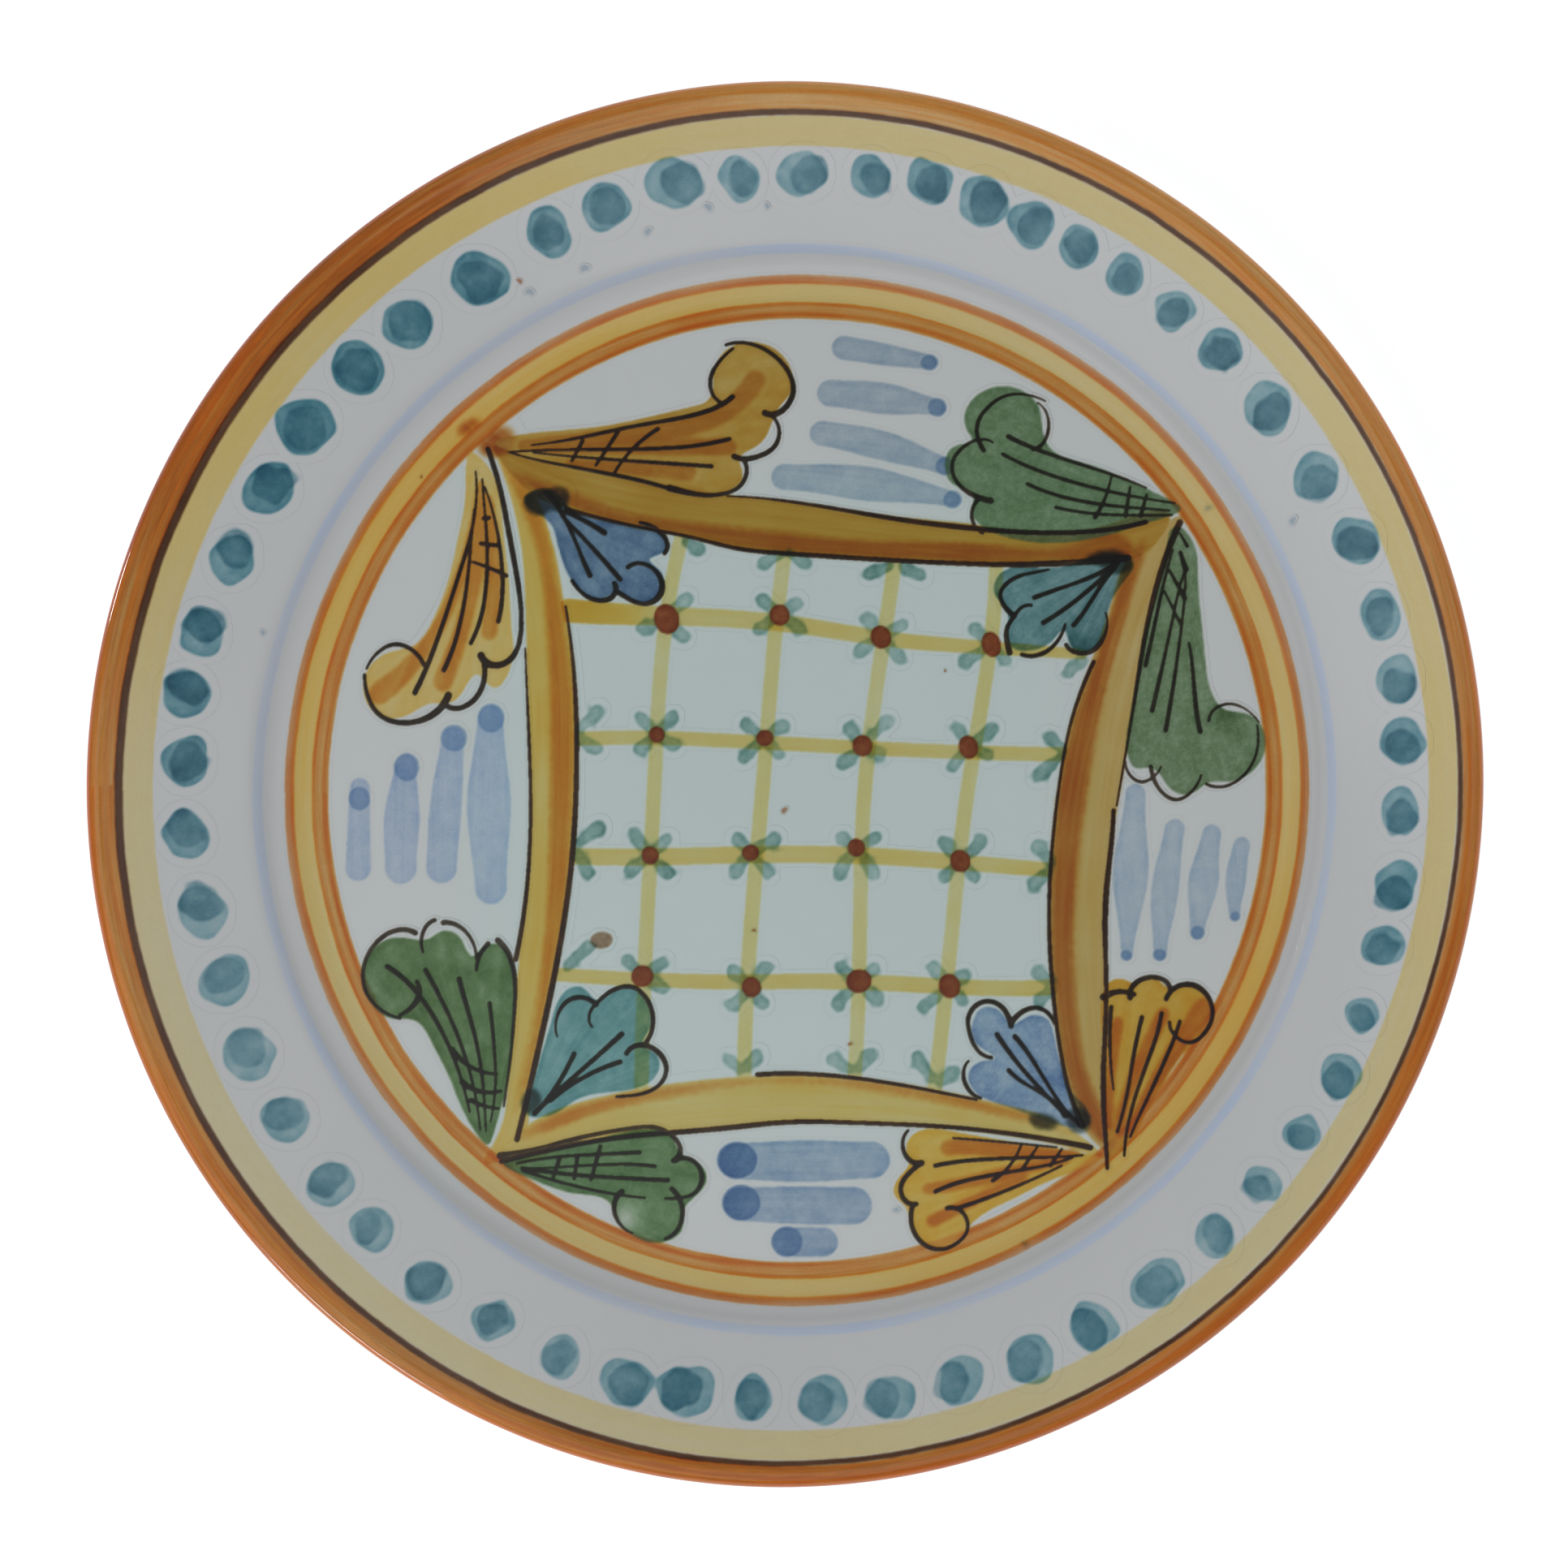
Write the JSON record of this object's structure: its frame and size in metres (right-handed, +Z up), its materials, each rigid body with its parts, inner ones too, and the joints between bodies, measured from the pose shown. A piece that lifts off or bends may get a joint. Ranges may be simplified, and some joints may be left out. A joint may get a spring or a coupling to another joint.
{
  "type": "ceramic plate",
  "caption": "Round glazed earthenware plate with foot ring, sloping flange and hand painted banded rim, dots, lattice and plume decoration.",
  "frame": {"origin": "centre of the table plane under the foot ring", "axes": "+Z up out of the painted face; +Y towards the top of the painted picture; +X to its right"},
  "size_m": [0.2702, 0.2702, 0.0284],
  "materials": {
    "bisque": "matt, unglazed terracotta",
    "white_glaze": "glossy opaque white tin glaze",
    "cobalt_blue": "watery cobalt wash under gloss",
    "pale_blue": "very faint blue line under gloss",
    "teal": "watery teal wash under gloss",
    "iron_red": "red-brown dab under gloss",
    "manganese_ink": "brown-black brush line under gloss",
    "orange": "streaky orange pull under gloss",
    "straw_yellow": "straw yellow pull under gloss",
    "dark_blue_black": "blue-black overlap under gloss",
    "green": "copper green wash under gloss",
    "ochre_yellow": "ochre wash under gloss",
    "brown_dab": "pale brown dab under gloss"
  },
  "bodies": {
    "root": {"bisque_body": "bisque", "glaze_coat": "white_glaze", "foot_recess_glaze": "white_glaze", "dash_end_dots": "cobalt_blue", "dashes_east": "cobalt_blue", "dashes_north": "cobalt_blue", "dashes_south": "cobalt_blue", "dashes_west": "cobalt_blue", "flange_blue_line": "pale_blue", "flange_dots_first_dab": "teal", "flange_dots_second_dab": "teal", "floret_centres": "iron_red", "floret_petals": "teal", "frame_ink": "manganese_ink", "frame_orange_east": "orange", "frame_orange_north": "orange", "frame_orange_south": "orange", "frame_orange_west": "orange", "frame_yellow_east": "straw_yellow", "frame_yellow_north": "straw_yellow", "frame_yellow_south": "straw_yellow", "frame_yellow_west": "straw_yellow", "lattice_horizontals": "straw_yellow", "lattice_verticals": "straw_yellow", "palmette_blue_nw": "cobalt_blue", "palmette_blue_se": "cobalt_blue", "palmette_dark_tips": "dark_blue_black", "palmette_ink_ne": "manganese_ink", "palmette_ink_nw": "manganese_ink", "palmette_ink_se": "manganese_ink", "palmette_ink_sw": "manganese_ink", "palmette_teal_ne": "teal", "palmette_teal_sw": "teal", "plume_green_ne_right": "green", "plume_green_ne_top": "green", "plume_green_sw_bottom": "green", "plume_green_sw_left": "green", "plume_ink_ne_right": "manganese_ink", "plume_ink_ne_top": "manganese_ink", "plume_ink_nw_left": "manganese_ink", "plume_ink_nw_top": "manganese_ink", "plume_ink_se_bottom": "manganese_ink", "plume_ink_se_right": "manganese_ink", "plume_ink_sw_bottom": "manganese_ink", "plume_ink_sw_left": "manganese_ink", "plume_shading_nw_left": "orange", "plume_shading_nw_top": "orange", "plume_shading_se_bottom": "orange", "plume_shading_se_right": "orange", "plume_yellow_nw_left": "ochre_yellow", "plume_yellow_nw_top": "ochre_yellow", "plume_yellow_se_bottom": "ochre_yellow", "plume_yellow_se_right": "ochre_yellow", "rim_dark_line": "manganese_ink", "rim_orange_band": "orange", "rim_yellow_band": "straw_yellow", "stray_dab": "brown_dab", "well_ring_inner_line": "orange", "well_ring_outer_line": "orange", "well_ring_yellow": "straw_yellow"}
  },
  "joints": []
}
